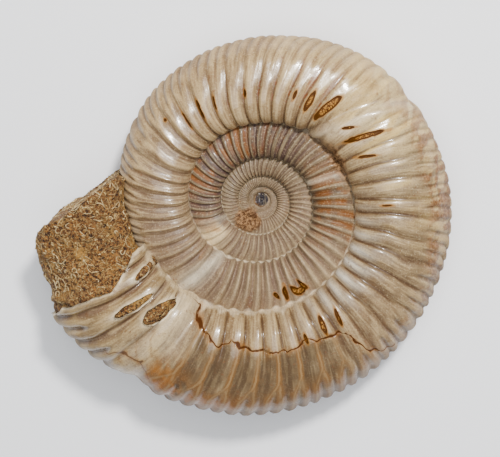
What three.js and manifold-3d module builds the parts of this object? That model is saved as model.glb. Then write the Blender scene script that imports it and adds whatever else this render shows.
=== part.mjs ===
// An ammonite fossil of the evolute, ribbed kind, lying on one flank: a coiled shell turned to stone, broken open
// at its living chamber, and the sediment that filled the chamber and stands out of the break.
// Millimetres and degrees, +Z up, origin on the ground under the middle of the bounding box. Seen from above the
// shell grows clockwise. A turn angle of 0 points along -X and 90 along +Y, and one turn inwards is 360 less.
import * as THREE from "three";
import { mergeVertices } from "three/addons/utils/BufferGeometryUtils.js";
import Module from "manifold-3d";

const wasm = await Module();
wasm.setup();

// The coil. A "share" is a length as a part of the venter radius at the same turn angle.
const VENTER_RADIUS = 37.1; // coil axis to the outer edge at turn angle 0
const GROWTH = 1.79; // size of each turn over the one inside it
const INNER_TURNS = 3; // turns modelled inside the last one
const SEAM = 0.507; // share: where a whorl meets the one inside it
const FLANK = 0.67; // share: where the whorl is thickest
const HALF_WIDTH = 0.245; // share: half the whorl's thickness there
const ROUNDNESS = 2.3; // superellipse exponent of the outer half of the section

// Ribs: single on the flank, forked in two over the venter.
const RIBS_PER_TURN = 45;
const RIB_HEIGHT = 0.019; // share
const RIB_WIDTH = 0.3; // of a rib's spacing, on the flank
const FORK_WIDTH = 0.16; // the same, for each branch
const FORK_START = 0.5; // where a rib begins to fork, from 0 at the seam to 1 at the venter
const FORK_END = 0.72;
const FOOT_SWEEP = 2.2; // degrees that a rib's foot lies ahead of its middle
const VENTER_SWEEP = 5; // degrees that it runs ahead of its middle by the venter
const CONSTRICTIONS = [-380, -205, -52, 134, 303]; // turn angles where growth paused
const CONSTRICTION_WIDTH = 5.5;
const CONSTRICTION_DEPTH = 0.012; // share

// The break, and the living chamber behind it.
const SHELL_END = 340; // turn angle where the last of the shell ends, beside the umbilical seam
const BREAK_LINE = [
  // corners of the broken edge in plan: turn angle, radius
  [332.4, 72],
  [331.6, 60],
  [332.4, 56],
  [331.4, 51],
  [331.4, 46.5],
  [330.2, 43],
  [333.0, 40.6],
  [335.6, 38.3],
  [341.5, 36.2],
];
const SHELL_WALL = 1.5;
const INNER_WALL = 0.5; // shell left between the chamber and the whorl inside it
const CHAMBER_START = 290; // turn angle where the filled chamber begins
const WINDOWS = [
  // holes worn through the chamber wall: turn angle, share, length, width, degrees that the outer end leans ahead
  { turn: 313.2, at: 0.612, length: 9.2, width: 4.2, lean: 4 },
  { turn: 321.8, at: 0.654, length: 9, width: 2, lean: 10 },
  { turn: 330.6, at: 0.563, length: 4, width: 2, lean: 4 },
];

// The sediment core.
const CORE_GAP = 0.3; // between the core and the shell
const CORE_OUTLINE = [
  // corners of the bare end of the core in plan: turn angle, radius
  [328, 70],
  [331, 64.6],
  [338, 62.8],
  [345, 62.3],
  [350, 62],
  [353.4, 60.2],
  [355.6, 57],
  [357.8, 51.3],
  [363, 45.8],
  [367.5, 41.7],
  [371.7, 39],
];

// How it lies: the coil axis leans until the lower flank touches the ground at three places.
const REST_LEAN = 2.8; // degrees
const REST_TOWARDS = 150; // turn angle that the axis leans towards
const REST_WEAR = 0.5; // depth of the flats worn where it touches

// Mesh steps. The last turn has four stations to a rib, the two inside it two, and the innermost one.
const STATIONS = 4 * RIBS_PER_TURN;
const UMBILICAL_STEPS = 3; // steps of a half section from the seam to the thickest place
const FLANK_STEPS = 2; // on to where the next whorl's seam covers it
const VENTER_STEPS = 3; // on to the venter
const COVERED = UMBILICAL_STEPS + FLANK_STEPS;
const LAST = COVERED + VENTER_STEPS;
const LOFT_STEP = 4; // degrees between sections of the chamber and the core

const radians = THREE.MathUtils.degToRad;
const smooth = THREE.MathUtils.smoothstep;
const venterRadius = (turn) => VENTER_RADIUS * GROWTH ** (turn / 360);

// A place from a turn angle, a radius and a height over the coil's middle plane.
function place(turn, radius, height) {
  const angle = Math.PI - radians(turn);
  return new THREE.Vector3(radius * Math.cos(angle), radius * Math.sin(angle), height);
}

// The outer half of a section, from the flank (0) to the venter (90), for a venter radius of 1.
function outerCurve(degrees) {
  const a = radians(degrees);
  return {
    radius: FLANK + (1 - FLANK) * Math.sin(a) ** (2 / ROUNDNESS),
    height: HALF_WIDTH * Math.max(Math.cos(a), 0) ** (2 / ROUNDNESS),
  };
}

// Where the next whorl's seam lies on this one, and so how high every whorl's seam is.
const COVER_SINE = ((SEAM * GROWTH - FLANK) / (1 - FLANK)) ** (ROUNDNESS / 2);
const COVER_ANGLE = THREE.MathUtils.radToDeg(Math.asin(COVER_SINE));
const SEAM_HEIGHT = outerCurve(COVER_ANGLE).height / GROWTH;

// The umbilical wall, from the seam (0) to the flank (90), for a venter radius of 1.
function umbilicalCurve(degrees) {
  const a = radians(degrees);
  return {
    radius: FLANK - (FLANK - SEAM) * Math.cos(a),
    height: SEAM_HEIGHT + (HALF_WIDTH - SEAM_HEIGHT) * Math.sin(a),
  };
}

// Step k of a half section: the seam at 0, the next whorl's seam at COVERED, the venter at LAST.
function sectionStep(k) {
  if (k <= UMBILICAL_STEPS) return umbilicalCurve((90 * k) / UMBILICAL_STEPS);
  if (k <= COVERED) return outerCurve((COVER_ANGLE * (k - UMBILICAL_STEPS)) / FLANK_STEPS);
  return outerCurve(COVER_ANGLE + ((90 - COVER_ANGLE) * (k - COVERED)) / VENTER_STEPS);
}

const profile = Array.from({ length: LAST + 1 }, (_, k) => sectionStep(k));
const lengths = [0];
for (let k = 1; k <= LAST; k++) {
  const dr = profile[k].radius - profile[k - 1].radius;
  const dh = profile[k].height - profile[k - 1].height;
  lengths.push(lengths[k - 1] + Math.hypot(dr, dh));
}
// How far along the half section each step is, from 0 at the seam to 1 at the venter.
const along = lengths.map((length) => length / lengths[LAST]);

// The outward direction of the half section at step k, as [radial, upward].
function outward(k) {
  if (k === LAST) return [1, 0];
  const before = profile[Math.max(k - 1, 0)];
  const after = profile[k + 1];
  const n = new THREE.Vector2(before.height - after.height, after.radius - before.radius).normalize();
  return [n.x, n.y];
}

// Degrees that a rib, so far along the half section, lies ahead of its own middle.
function sweep(share) {
  const foot = FOOT_SWEEP * Math.max(1 - share / 0.3, 0) ** 2;
  return foot + VENTER_SWEEP * Math.max((share - 0.4) / 0.6, 0) ** 1.5;
}

// The ribbing, from 0 in a groove to 1 on a crest.
function ribbing(turn, share) {
  const phase = (turn * RIBS_PER_TURN) / 360;
  const offset = phase - Math.floor(phase) - 0.5;
  const fork = smooth(share, FORK_START, FORK_END);
  const width = THREE.MathUtils.lerp(RIB_WIDTH, FORK_WIDTH, fork);
  const bump = (d) => Math.exp(-((d / width) ** 2));
  return smooth(share, 0, 0.12) * Math.max(bump(offset - 0.25 * fork), bump(offset + 0.25 * fork));
}

// How far the surface stands out from the plain whorl, in millimetres.
function relief(turn, share) {
  const pauses = CONSTRICTIONS.map((c) => Math.exp(-(((turn - c) / CONSTRICTION_WIDTH) ** 2)));
  const pause = Math.max(...pauses);
  const shares = RIB_HEIGHT * ribbing(turn, share) * (1 - pause) - CONSTRICTION_DEPTH * pause;
  return shares * venterRadius(turn);
}

// Step k of the section at a turn angle on one side (1 up, -1 down, 0 on the middle plane), with its ribs.
function shellPoint(turn, k, side) {
  const size = venterRadius(turn);
  const out = relief(turn, along[k]);
  const [radial, upward] = outward(k);
  const height = profile[k].height * size + upward * out;
  return place(turn + sweep(along[k]), profile[k].radius * size + radial * out, side * height);
}

// A closed mesh whose points are named by keys, so that faces which meet share their points.
class ClosedMesh {
  constructor() {
    this.ids = new Map();
    this.coordinates = [];
    this.faces = [];
  }

  point(key, makePoint) {
    if (!this.ids.has(key)) {
      this.ids.set(key, this.ids.size);
      this.coordinates.push(...makePoint().toArray());
    }
    return this.ids.get(key);
  }

  triangle(a, b, c) {
    if (a !== b && b !== c && c !== a) this.faces.push(a, b, c);
  }

  // a to b and c to d run beside each other. turned makes the faces look the other way.
  quad(a, b, c, d, turned) {
    if (turned) {
      this.triangle(a, c, b);
      this.triangle(b, c, d);
    } else {
      this.triangle(a, b, c);
      this.triangle(b, d, c);
    }
  }

  // Fills the space between two rows of points that run beside each other.
  stitch(one, other, turned) {
    let i = 0;
    let j = 0;
    while (i + 1 < one.length || j + 1 < other.length) {
      const share = (i + 1) / (one.length - 1);
      const otherShare = (j + 1) / (other.length - 1);
      const onOne = j + 1 === other.length || (i + 1 < one.length && share <= otherShare);
      const next = onOne ? one[i + 1] : other[j + 1];
      if (turned) this.triangle(one[i], other[j], next);
      else this.triangle(one[i], next, other[j]);
      if (onOne) i++;
      else j++;
    }
  }

  geometry() {
    const geometry = new THREE.BufferGeometry();
    geometry.setAttribute("position", new THREE.Float32BufferAttribute(this.coordinates, 3));
    geometry.setIndex(this.faces);
    return geometry;
  }
}

// The whole shell: the last turn all round its section, and of each turn inside it what still shows.
function coiledShell() {
  const mesh = new ClosedMesh();
  const innermost = STATIONS * (1 + INNER_TURNS);
  const turnOf = (station) => SHELL_END - (station * 360) / STATIONS;
  const stepAt = (station) => (station < STATIONS ? 1 : station < innermost - STATIONS ? 2 : 4);

  // Every seam point is a point of the whorl inside, except on the innermost turn, where they meet on the axis.
  function vertex(station, k, side) {
    if (k === 0 && station + STATIONS > innermost) {
      const height = side * profile[0].height * venterRadius(turnOf(innermost));
      return mesh.point(`centre ${side}`, () => new THREE.Vector3(0, 0, height));
    }
    if (k === 0) return vertex(station + STATIONS, COVERED, side);
    const half = k === LAST ? 0 : side;
    return mesh.point(`${station} ${k} ${half}`, () => shellPoint(turnOf(station), k, half));
  }

  for (const side of [1, -1]) {
    const turned = side < 0;
    for (let i = 0; i < innermost; i += stepAt(i)) {
      const next = i + stepAt(i);
      const outermost = i < STATIONS;
      const finerOutside = !outermost && stepAt(i - STATIONS) < stepAt(i);
      const steps = outermost ? LAST : COVERED;
      for (let k = 0; k < steps; k++) {
        const [a, b] = [vertex(i, k, side), vertex(i, k + 1, side)];
        const [c, d] = [vertex(next, k, side), vertex(next, k + 1, side)];
        if (finerOutside && k + 1 === COVERED) {
          const middle = vertex((i + next) / 2, COVERED, side);
          mesh.stitch([b, middle, d], [a, c], turned);
        } else mesh.quad(a, b, c, d, turned);
      }
    }
    // The start of the coil.
    const centre = vertex(innermost, 0, side);
    for (let k = 1; k < COVERED; k++) {
      const [a, b] = [vertex(innermost, k, side), vertex(innermost, k + 1, side)];
      if (turned) mesh.triangle(centre, b, a);
      else mesh.triangle(centre, a, b);
    }
    // The end, down to the whorl inside.
    const end = profile.map((_, k) => vertex(0, k, side));
    const inside = profile.slice(COVERED).map((_, k) => vertex(STATIONS, COVERED + k, side));
    mesh.stitch(end, inside, !turned);
  }
  return mesh.geometry();
}

// A plain length of whorl, with its skin moved out by grow (or in, if negative).
function plainWhorl(from, to, grow) {
  const mesh = new ClosedMesh();
  const count = Math.ceil((to - from) / LOFT_STEP);
  const upper = profile.map((_, k) => ({ k, side: 1 }));
  const lower = profile.map((_, k) => ({ k, side: -1 })).slice(0, LAST);
  const ring = [...upper, ...lower.reverse()];

  function vertex(i, n) {
    const { k, side } = ring[n % ring.length];
    const turn = from + ((to - from) * i) / count;
    const size = venterRadius(turn);
    const [radial, upward] = outward(k);
    const height = side * (profile[k].height * size + upward * grow);
    return mesh.point(`${i} ${n % ring.length}`, () => place(turn, profile[k].radius * size + radial * grow, height));
  }

  for (let i = 0; i < count; i++) {
    for (let n = 0; n < ring.length; n++) {
      mesh.quad(vertex(i, n), vertex(i, n + 1), vertex(i + 1, n), vertex(i + 1, n + 1), true);
    }
  }
  for (let n = 1; n + 1 < ring.length; n++) {
    mesh.triangle(vertex(0, 0), vertex(0, n), vertex(0, n + 1));
    mesh.triangle(vertex(count, 0), vertex(count, n + 1), vertex(count, n));
  }
  return mesh.geometry();
}

// An upright prism over a plan outline, between two heights.
function prism(outline, bottom, top) {
  const shape = new THREE.Shape(outline.map((p) => new THREE.Vector2(p.x, p.y)));
  const geometry = new THREE.ExtrudeGeometry(shape, { depth: top - bottom, bevelEnabled: false });
  return geometry.translate(0, 0, bottom);
}

// Everything is made level about the coil axis and then leaned as it lies.
const toRest = new THREE.Matrix4().makeRotationAxis(
  new THREE.Vector3(0, 0, 1).cross(place(REST_TOWARDS, 1, 0)).normalize(),
  radians(REST_LEAN),
);

// A solid, as it lies, from a closed geometry.
function solid(geometry) {
  const bare = new THREE.BufferGeometry();
  bare.setAttribute("position", geometry.getAttribute("position"));
  bare.setIndex(geometry.getIndex());
  const merged = mergeVertices(bare, 1e-4).applyMatrix4(toRest);
  const mesh = new wasm.Mesh({
    numProp: 3,
    vertProperties: new Float32Array(merged.getAttribute("position").array),
    triVerts: new Uint32Array(merged.getIndex().array),
  });
  mesh.merge();
  return new wasm.Manifold(mesh);
}

const TALL = 40; // beyond the fossil's height on both sides of its middle plane

// Plan outline of everything past the break line.
const pastBreak = [...BREAK_LINE.map(([turn, radius]) => place(turn, radius, 0)), place(346, 38, 0), place(346, 72, 0)];

// A window's plan outline: an ellipse that narrows towards its inner end.
function windowOutline({ turn, at, length, width, lean }) {
  const middle = place(turn, at * venterRadius(turn), 0);
  const outwards = place(turn + lean, 1, 0);
  const sideways = new THREE.Vector3(0, 0, 1).cross(outwards);
  const points = [];
  for (let a = 0; a < 360; a += 30) {
    const narrowing = 1 + 0.2 * Math.cos(radians(a));
    points.push(
      middle
        .clone()
        .addScaledVector(outwards, (length / 2) * Math.cos(radians(a)))
        .addScaledVector(sideways, (width / 2) * narrowing * Math.sin(radians(a))),
    );
  }
  return points;
}

// The whorl inside the chamber, with its skin moved out by grow.
const insideWhorl = (grow) => solid(plainWhorl(CHAMBER_START - 364, SHELL_END - 320, grow));

const chamber = solid(plainWhorl(CHAMBER_START, SHELL_END + 8, -SHELL_WALL)).subtract(insideWhorl(INNER_WALL));
let shell = solid(coiledShell()).subtract(solid(prism(pastBreak, -TALL, TALL))).subtract(chamber);
for (const window of WINDOWS) shell = shell.subtract(solid(prism(windowOutline(window), 0, TALL)));

const coreOutline = [
  ...CORE_OUTLINE.map(([turn, radius]) => place(turn, radius, 0)),
  place(372, 30, 0),
  place(330, 20, 0),
  place(CHAMBER_START, 20, 0),
  place(CHAMBER_START + 1, 70, 0),
  place(310, 75, 0),
];
const core = solid(plainWhorl(CHAMBER_START, 374, -SHELL_WALL - CORE_GAP))
  .subtract(insideWhorl(INNER_WALL + CORE_GAP))
  .intersect(solid(prism(coreOutline, -TALL, TALL)));

// The ground, worn flats and all, and the middle of the bounding box over it.
const bounds = shell.boundingBox();
const coreBounds = core.boundingBox();
const ground = bounds.min[2] + REST_WEAR;
const middleOf = (axis) =>
  (Math.min(bounds.min[axis], coreBounds.min[axis]) + Math.max(bounds.max[axis], coreBounds.max[axis])) / 2;
const below = new THREE.BoxGeometry(400, 400, TALL).translate(0, 0, ground - TALL / 2);
below.applyMatrix4(toRest.clone().invert());
shell = shell.subtract(solid(below));

// A named mesh from a solid, set over the origin.
function piece(name, body, color, roughness) {
  const { vertProperties, triVerts } = body.getMesh();
  const geometry = new THREE.BufferGeometry();
  geometry.setAttribute("position", new THREE.Float32BufferAttribute(vertProperties, 3));
  geometry.setIndex(new THREE.BufferAttribute(triVerts, 1));
  geometry.computeVertexNormals();
  const mesh = new THREE.Mesh(geometry, new THREE.MeshStandardMaterial({ color, roughness, metalness: 0 }));
  mesh.name = name;
  mesh.position.set(-middleOf(0), -middleOf(1), -ground);
  return mesh;
}

const group = new THREE.Group();
group.add(piece("fossil_shell", shell, 0xcbbfae, 0.3));
group.add(piece("sediment_core", core, 0x80613d, 0.85));

export default group;
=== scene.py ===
import math

import bpy
import numpy as np
from mathutils import Matrix, Vector
from mathutils.bvhtree import BVHTree


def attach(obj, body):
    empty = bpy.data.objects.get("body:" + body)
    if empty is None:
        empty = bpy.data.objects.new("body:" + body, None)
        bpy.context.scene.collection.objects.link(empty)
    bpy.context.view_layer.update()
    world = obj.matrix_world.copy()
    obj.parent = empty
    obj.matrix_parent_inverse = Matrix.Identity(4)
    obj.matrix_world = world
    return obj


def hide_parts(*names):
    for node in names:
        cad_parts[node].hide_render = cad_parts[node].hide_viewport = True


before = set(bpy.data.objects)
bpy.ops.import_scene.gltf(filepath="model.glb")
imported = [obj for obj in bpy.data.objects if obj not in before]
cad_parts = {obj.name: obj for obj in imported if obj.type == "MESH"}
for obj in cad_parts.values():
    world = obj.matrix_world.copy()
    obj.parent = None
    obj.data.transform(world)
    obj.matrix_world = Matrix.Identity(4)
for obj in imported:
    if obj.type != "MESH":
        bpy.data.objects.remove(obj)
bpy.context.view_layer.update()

MM = 0.001

# ---- the coil, as in the CAD part, in mm and degrees
VENTER_RADIUS = 37.1  # at turn 0
GROWTH = 1.79  # over one whorl
SEAM = 0.507  # the seam, the flank's widest place and half its width, as shares of the venter radius
FLANK = 0.67
HALF_WIDTH = 0.245
ROUNDNESS = 2.3  # power of the outer section's rounded square
SHELL_END = 341.0
RIM_DEPTH = 0.5  # how far down the wall shows where it is broken
RIM_LIP = 0.05  # how far the broken rim stands up
REST_LEAN = math.radians(2.8)
REST_TOWARDS = 150.0  # the turn that it leans towards
COIL_CENTRE = (5.4719, 7.3574, 14.0984)  # in the part's frame

# How the last whorl swells and shrinks from a true spiral: turn, width in degrees, share.
SWELLS = ((125, 26, 0.024), (273, 20, 0.017), (213, 20, -0.013), (330, 9, 0.008))

# ---- small numeric tools


def smooth(x, low, high):
    s = np.clip((x - low) / (high - low), 0, 1)
    return s * s * (3 - 2 * s)


def bump(x, centre, width):
    return np.exp(-(((x - centre) / width) ** 2))


def mix(a, b, t):
    return a + (b - a) * t


def hashed(*numbers, seed=0):
    """A steady random number from 0 to 1 for each whole-numbered place."""
    h = np.full(np.broadcast(*numbers).shape, 2166136261 + 7919 * seed, dtype=np.uint64)
    for n in numbers:
        h = (h ^ (np.asarray(n).astype(np.int64) & 0xFFFFFFFF).astype(np.uint64)) * np.uint64(16777619)
        h = (h & np.uint64(0xFFFFFFFF)) ^ (h >> np.uint64(13) & np.uint64(0x7FFFF))
    return (h & np.uint64(0xFFFFFF)).astype(float) / 0xFFFFFF


def noise(points, size, seed=0):
    """Smooth noise from -1 to 1 at points, with features of the given size."""
    p = np.asarray(points) / size
    low = np.floor(p)
    f = p - low
    f = f * f * (3 - 2 * f)
    total = 0
    for corner in np.ndindex(2, 2, 2):
        value = hashed(*np.moveaxis(low + corner, -1, 0), seed=seed)
        for axis, upper in enumerate(corner):
            value = value * (f[..., axis] if upper else 1 - f[..., axis])
        total = total + value
    return total * 2 - 1


def layered(points, size, seed):
    """Three layers of noise, each half as large and half as strong as the last."""
    return sum(noise(points, size / 2**i, seed + i) / 2**i for i in range(3)) / 1.6


# ---- section and ribs
outer_angle = np.radians(np.linspace(0, 90, 300))
cover_sine = ((SEAM * GROWTH - FLANK) / (1 - FLANK)) ** (ROUNDNESS / 2)
seam_height = HALF_WIDTH * math.cos(math.asin(cover_sine)) ** (2 / ROUNDNESS) / GROWTH
profile_radius = np.concatenate([
    FLANK - (FLANK - SEAM) * np.cos(outer_angle),
    (FLANK + (1 - FLANK) * np.sin(outer_angle) ** (2 / ROUNDNESS))[1:],
])
profile_height = np.concatenate([
    seam_height + (HALF_WIDTH - seam_height) * np.sin(outer_angle),
    (HALF_WIDTH * np.maximum(np.cos(outer_angle), 0) ** (2 / ROUNDNESS))[1:],
])
path = np.concatenate([[0], np.cumsum(np.hypot(np.diff(profile_radius), np.diff(profile_height)))])
HALF_PATH = path[-1]  # share: length of the half section from the seam to the venter
path = path / HALF_PATH
normal_radial = -np.gradient(profile_height, path)
normal_upward = np.gradient(profile_radius, path)
normal_length = np.hypot(normal_radial, normal_upward)
normal_radial, normal_upward = normal_radial / normal_length, normal_upward / normal_length
normal_radial[-1], normal_upward[-1] = 1, 0
# Path share that the next whorl's seam covers.
COVERED = float(np.interp(SEAM * GROWTH, profile_radius, path))

# Rib spacing along the coil, as turn and degrees.
SPACING = (
    (-1300, 5.6), (-720, 6.6), (-400, 7.4), (-20, 7.6), (60, 8.15), (130, 7.0), (200, 8.2), (250, 7.4),
    (300, 9.2), (345, 6.8),
)
WIDE_RIBS = ((27.5, 5, 7.4), (133, 7, 9.7))  # where they are further apart: turn, width, degrees added
LAST_WHORL_FROM = -20
RIBS_BEFORE = 3.44  # ribs from there to the one that is counted as 0
turns = np.arange(-2400, 420, 0.25)
spacing = np.interp(turns, *zip(*SPACING)) + sum(a * bump(turns, c, w) for c, w, a in WIDE_RIBS)
phases = np.cumsum(0.25 / spacing)
phases -= np.interp(LAST_WHORL_FROM, turns, phases) + RIBS_BEFORE

FOOT_SWEEP = 2.6
VENTER_SWEEP = 6.0
# Pauses in growth: turn on the flank, degrees it runs ahead by the venter, width, depth and collar as shares.
PAUSES = (
    (-385, 4, 4.5, 0.012, 0.010),
    (-205, 4, 3.0, 0.010, 0.008),
    (-55, 5, 5.5, 0.012, 0.014),
    (132, 15, 4.6, 0.014, 0.012),
    (302, 5, 6.0, 0.016, 0.012),
)


def venter_radius(t, v=0.0):
    swell = sum(a * bump(t, c, w) for c, w, a in SWELLS)
    return VENTER_RADIUS * GROWTH ** (t / 360) * (1 + swell * smooth(v, 0.1, 0.9))


def sweep(v):
    """Degrees that a rib runs ahead at its foot and towards the venter."""
    foot = FOOT_SWEEP * np.maximum(1 - v / 0.3, 0) ** 2
    return foot + VENTER_SWEEP * np.maximum((v - 0.35) / 0.65, 0) ** 1.4


def rib_phase(t, v):
    """Whole numbers are the bottoms of the grooves. Ribs wander a little to each side, most on the right."""
    place = np.stack([t / 11.0, v * 3.1, np.zeros_like(t)], -1)
    closer = np.stack([t / 6.5, v * 6.0, np.zeros_like(t)], -1)
    wander = 0.07 * noise(place, 1.0, seed=5)
    wander = wander + (0.03 + 0.11 * bump(t, 200, 45)) * noise(closer, 1.0, seed=6) * smooth(v, 0.1, 0.35)
    return np.interp(t - sweep(v), turns, phases) + wander


def pause_line(t, v, turn, ahead):
    """Degrees of turn past a pause in growth."""
    return t - turn - ahead * (v - 0.4) / 0.6


def forking(v, inner):
    """How far a rib has parted into its two branches, from 0 to 1."""
    return smooth(v, 0.54 + 0.12 * inner, 0.70 + 0.14 * inner)


def ridges(t, v):
    """Height of the ribs, 0 in a groove and about 1 on a crest. A rib is steep behind and gentle ahead."""
    phase = rib_phase(t, v)
    nearest = np.floor(phase)
    inner = smooth(-t, 20, 60)
    fork = forking(v, inner)
    # Ribs are sharp on the left and on the inner whorls, and flat-topped with narrow grooves elsewhere.
    sharp = np.maximum(inner, smooth(70 - t, 0, 35))
    power = mix(3.4, 1.7 + 0.5 * inner, sharp * (1 - 0.6 * fork))
    height = np.zeros_like(phase)
    for step in (-1, 0, 1):
        rib = nearest + step
        offset = phase - rib - 0.32
        strength = 0.88 + 0.24 * hashed(rib, seed=4)
        for branch in (-0.17, 0.33):
            away = offset - branch * fork
            behind = mix(0.27, mix(0.15, 0.22, inner), sharp)
            ahead = mix(0.50, mix(0.26, 0.36, inner), sharp)
            width = mix(np.where(away < 0, behind, ahead), 0.19, fork)
            height = np.maximum(height, strength * np.exp(-(np.abs(away / width) ** power)))
    return height


def shell_relief(t, v, points):
    """How far the shell stands out from its plain section in mm, and its ribbing from 0 to 1."""
    ridge = ridges(t, v)
    size = venter_radius(t)
    inner = smooth(-t, 0, 60)
    # Ribs are highest on the inner flank, and worn and polished low on the outer flank.
    amplitude = np.interp(v, [-0.05, 0.02, 0.08, 0.18, 0.40, 0.55, 0.72, 1.0],
                          [0.0, 0.004, 0.013, 0.020, 0.018, 0.014, 0.012, 0.021])
    amplitude = amplitude * mix(mix(1, 1.05, smooth(75 - t, 0, 40)), 2.0 + 0.8 * bump(t, -100, 45), inner)
    # They are low and close on the outer flank over the top, and flatter on the right.
    amplitude = amplitude * (1 - 0.60 * bump(t, 100, 42) * smooth(v, 0.42, 0.6))
    amplitude = amplitude * (1 - 0.15 * bump(t, 195, 30))
    amplitude = amplitude * (1 + 0.6 * smooth(t, 306, 316)) * (1 - 0.35 * bump(t, 160, 26))
    polished = bump(t, 262, 30) * smooth(v, 0.35, 0.5) * smooth(0.93 - v, 0, 0.15)
    amplitude = amplitude * (1 - 0.5 * polished)
    still = np.zeros_like(t)
    shape = np.zeros_like(t)
    for turn, ahead, width, depth, collar in PAUSES:
        line = pause_line(t, v, turn, ahead)
        quiet = np.exp(-((np.abs(line - 1.5) / (width * 1.35)) ** 4))
        still = np.maximum(still, quiet)
        shape += collar * bump(line, width * 0.95, width * 0.6) - depth * bump(line, -0.5, width * 0.5)
    ridge = ridge * (1 - 0.85 * still)
    waviness = 0.0035 * layered(points, 7.0, seed=11)
    fine = 0.0011 * layered(points, 1.3, seed=21)
    return (amplitude * ridge + shape + waviness) * size + fine * 40, ridge


def on_coil(t, radius, height):
    """The place at a turn, a distance from the coil's axis and a height over its middle plane."""
    angle = np.pi - np.radians(t)
    return np.stack([radius * np.cos(angle), radius * np.sin(angle), height], -1)


def plain_surface(t, v, side):
    """Places on the shell without its ribs and swells."""
    section = np.clip(v, 0, 1)
    size = venter_radius(t)
    height = np.interp(section, path, profile_height) * size
    return on_coil(t, np.interp(section, path, profile_radius) * size, side * height)


def shell_surface(t, v, side):
    """Places on the shell, and its ribbing. v runs from the seam (0) to the venter (1), side is 1 or -1."""
    size = venter_radius(t, v)
    below = np.minimum(v, 0) * HALF_PATH
    section = np.clip(v, 0, 1)
    radius = np.interp(section, path, profile_radius) * size
    height = (np.interp(section, path, profile_height) + below) * size
    out, ridge = shell_relief(t, v, on_coil(t, radius, side * height))
    radius = radius + np.interp(section, path, normal_radial) * out
    height = side * (height + np.interp(section, path, normal_upward) * out)
    # The two sides meet on the middle plane.
    height = np.where(v >= 1, 0, height)
    return on_coil(t, radius, height), ridge


def scales(t, v):
    """Millimetres to a degree of turn along the coil, and to the whole path up the section."""
    size = venter_radius(t)
    return size * np.interp(np.clip(v, 0, 1), path, profile_radius) * np.pi / 180, size * HALF_PATH


def lens_distance(t, v, lenses, furthest):
    """Distance in mm to the rim of the nearest lens, negative inside it.

    A lens is its turn, path share, half length and half width in mm, the degrees that its outer end runs
    ahead, and how pointed that end is.
    """
    mm_per_turn, mm_per_share = scales(t, v)
    nearest = np.full_like(t, furthest)
    for turn, at, half_length, half_width, ahead, point in lenses:
        along = (v - at) * mm_per_share
        across = (t - turn - ahead / (2 * half_length) * along) * mm_per_turn
        width = half_width * (1 - point * np.clip(along / half_length, -1, 1))
        nearest = np.minimum(nearest, (np.hypot(along / half_length, across / width) - 1) * width)
    return nearest


# ---- openings: the break and the worn holes
# Holes in the upper side of the chamber wall, as lenses.
HOLES = (
    (313.0, 0.240, 4.9, 1.95, 3.0, -0.25),
    (321.8, 0.318, 4.6, 0.95, 1.5, -0.1),
    (330.7, 0.175, 2.1, 1.0, -1.0, 0.0),
)
# The broken edge: path share, turn.
BREAK = (
    (-0.1, 342.0), (0.10, 341.5), (0.17, 340.5), (0.24, 335.0), (0.31, 332.5), (0.36, 330.4), (0.43, 331.2),
    (0.51, 331.6), (0.60, 332.0), (0.70, 332.0), (0.8, 331.6), (0.9, 331.0), (1.0, 330.6),
)


def hole_distance(t, v, points):
    """Distance in mm to the nearest hole's ragged rim, negative in a hole."""
    ragged = 0.22 * noise(points, 1.1, seed=31) + 0.2 * noise(points, 2.6, seed=32)
    return lens_distance(t, v, HOLES, 50.0) + ragged


def break_distance(t, v, points):
    """Distance in mm back from the broken edge, negative past it."""
    mm_per_turn, _ = scales(t, v)
    edge = np.interp(v, *zip(*BREAK))
    ragged = 0.35 * noise(points, 3.0, seed=33) + 0.25 * noise(points, 1.2, seed=34)
    slope = np.interp(v, [0, 0.1, 0.2, 0.35, 0.5], [0.5, 0.75, 0.75, 0.95, 1.0])
    return (edge - t) * mm_per_turn * slope + ragged


def opening_distance(t, v, side, points):
    d = break_distance(t, v, points)
    if side > 0:
        d = np.minimum(d, hole_distance(t, v, points))
    return d


# ---- painting the shell
WARMTH = np.array([0.66, 0.63, 0.595])  # the painted stone as a whole is made this much deeper and warmer
COOLER = np.array([0.98, 1.06, 1.22])  # the inner whorls
WARMER = np.array([1.0, 0.97, 0.88])  # near the break


def srgb(*levels):
    c = np.array(levels) / 255
    return np.where(c <= 0.04045, c / 12.92, ((c + 0.055) / 1.055) ** 2.4)


def kept(*levels):
    """A colour that comes out as given, in spite of WARMTH."""
    return srgb(*levels) / WARMTH


CREAM = srgb(194, 168, 124)
WHITE = srgb(224, 207, 174)
BEIGE = srgb(158, 130, 92)
GROOVE_TONE_AND_SHADE = srgb(104, 76, 50)
MAUVE = srgb(116, 90, 74)
GREY = srgb(140, 116, 92)
PINK = srgb(146, 98, 68)
PINKISH_GREY = srgb(138, 110, 92)
AMBER = srgb(136, 82, 8)
SMOKE = srgb(98, 78, 56)
SMOKE_PATCH = srgb(134, 106, 70)
SMOKE_EDGE = srgb(150, 130, 108)
TOP_HIGHLIGHT = srgb(255, 232, 172)
YELLOW = srgb(246, 212, 132)
GREENISH = srgb(142, 126, 96)
HONEY = srgb(222, 192, 132)
VIOLET = srgb(104, 76, 78)
BLOTCH = srgb(104, 68, 58)
EARTH = srgb(104, 74, 46)
CHALK_AND_HIGHLIGHT = kept(222, 214, 198)
STAIN = kept(118, 78, 28)
RUST = kept(124, 74, 22)
PALE_RUST = kept(222, 186, 122)
ORANGE = kept(134, 72, 14)
FORK_BROWN = kept(118, 76, 24)
CRUST = kept(226, 200, 152)
CRUST_BROWN = kept(150, 100, 42)
RIM = srgb(222, 208, 180)
RUSTY_FROM = 0.64  # path share where the rusty band along the right edge begins


def over(colour, paint, amount):
    return mix(colour, paint, np.clip(amount, 0, 1)[..., None])


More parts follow.
